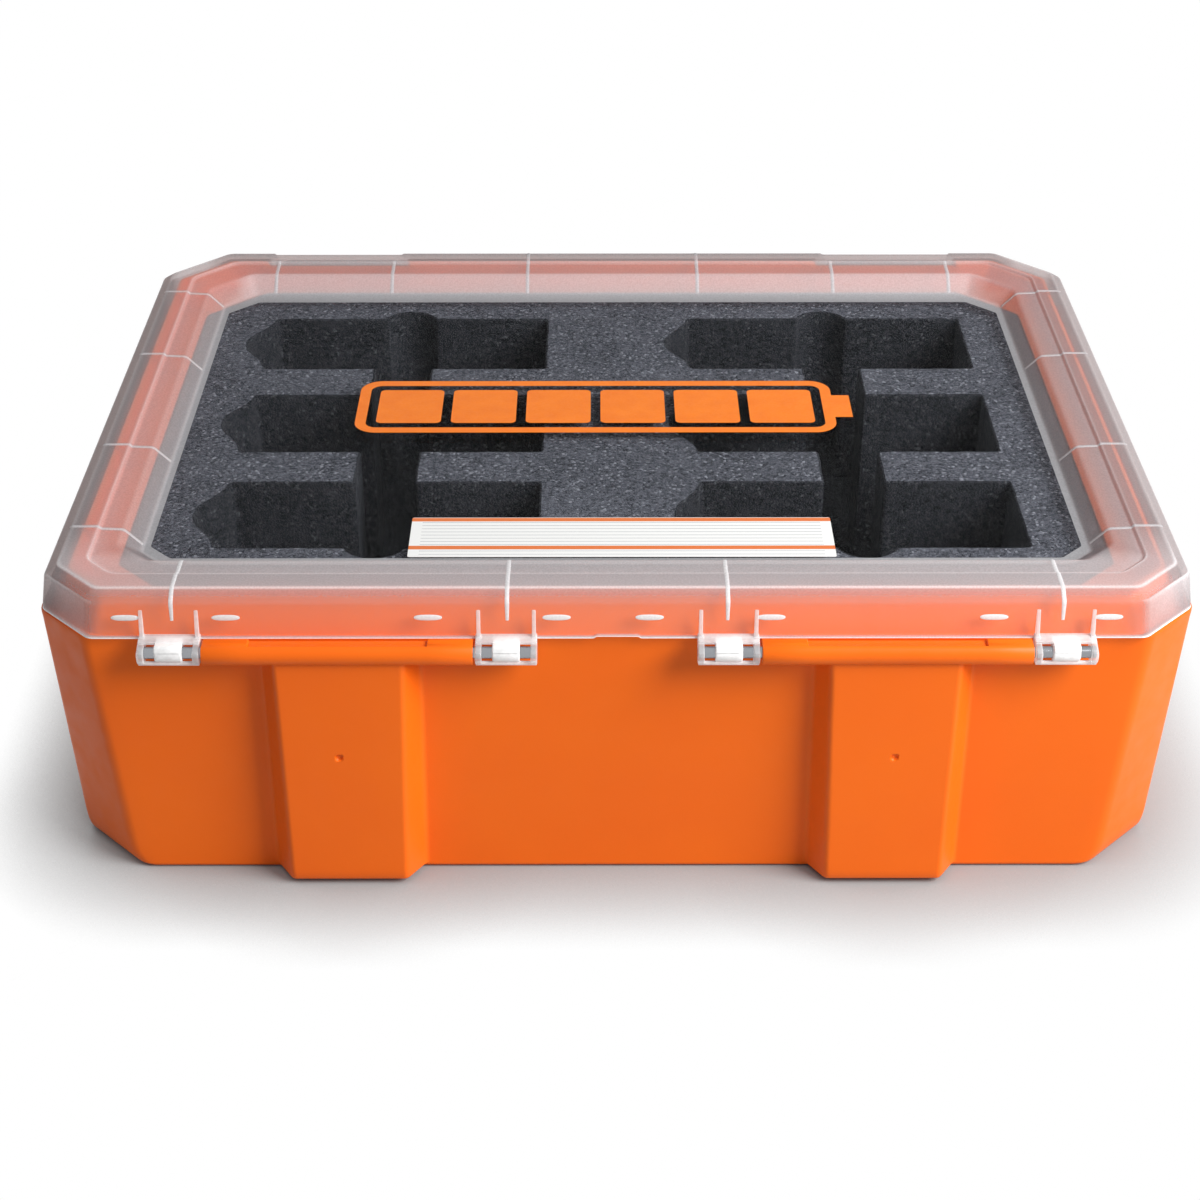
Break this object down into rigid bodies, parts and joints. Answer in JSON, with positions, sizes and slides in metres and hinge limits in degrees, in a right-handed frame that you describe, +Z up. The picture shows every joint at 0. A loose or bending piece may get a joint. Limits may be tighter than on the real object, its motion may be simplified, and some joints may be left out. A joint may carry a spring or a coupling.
{
  "type": "battery carrying case",
  "caption": "Shallow moulded carrying case with chamfered corners, clear hinged lid, pocketed foam insert, snap latches and a folding bail handle.",
  "frame": {"origin": "centre of the flat underside of the base, on which the case stands with its lid up", "axes": "+X along the length of the case, +Y from the hinge side towards the handle side, +Z up through the lid"},
  "size_m": [0.516, 0.4125, 0.1524],
  "materials": {
    "orange_plastic": "satin",
    "clear_plastic": "gloss",
    "black_plastic": "satin",
    "steel": "polished",
    "charcoal_foam": "matte",
    "orange_print": "satin",
    "white_label": "satin"
  },
  "bodies": {
    "base": {"base_shell": "orange_plastic", "foam_pocket_layer": "charcoal_foam", "foam_base_pad": "charcoal_foam", "hinge_rod_left": "steel", "hinge_rod_right": "steel", "handle_pin_left": "steel", "handle_pin_right": "steel"},
    "lid": {"lid_shell": "clear_plastic", "lid_emblem": "orange_print", "lid_label": "white_label", "latch_pin_left": "steel", "latch_pin_right": "steel"},
    "left_latch": {"latch_left": "black_plastic"},
    "right_latch": {"latch_right": "black_plastic"},
    "handle": {"handle": "black_plastic"}
  },
  "joints": [
    {"name": "lid_hinge", "type": "hinge", "parent": "base", "child": "lid", "pos_m": [0, -0.1985, 0.1272], "axis": [1, 0, 0], "range_deg": [0, 180]},
    {"name": "left_latch_hinge", "type": "hinge", "parent": "lid", "child": "left_latch", "pos_m": [-0.157, 0.191, 0.1405], "axis": [1, 0, 0], "range_deg": [0, 110]},
    {"name": "right_latch_hinge", "type": "hinge", "parent": "lid", "child": "right_latch", "pos_m": [0.157, 0.191, 0.1405], "axis": [1, 0, 0], "range_deg": [0, 110]},
    {"name": "handle_hinge", "type": "hinge", "parent": "base", "child": "handle", "pos_m": [0, 0.199, 0.112], "axis": [1, 0, 0], "range_deg": [0, 100]}
  ]
}
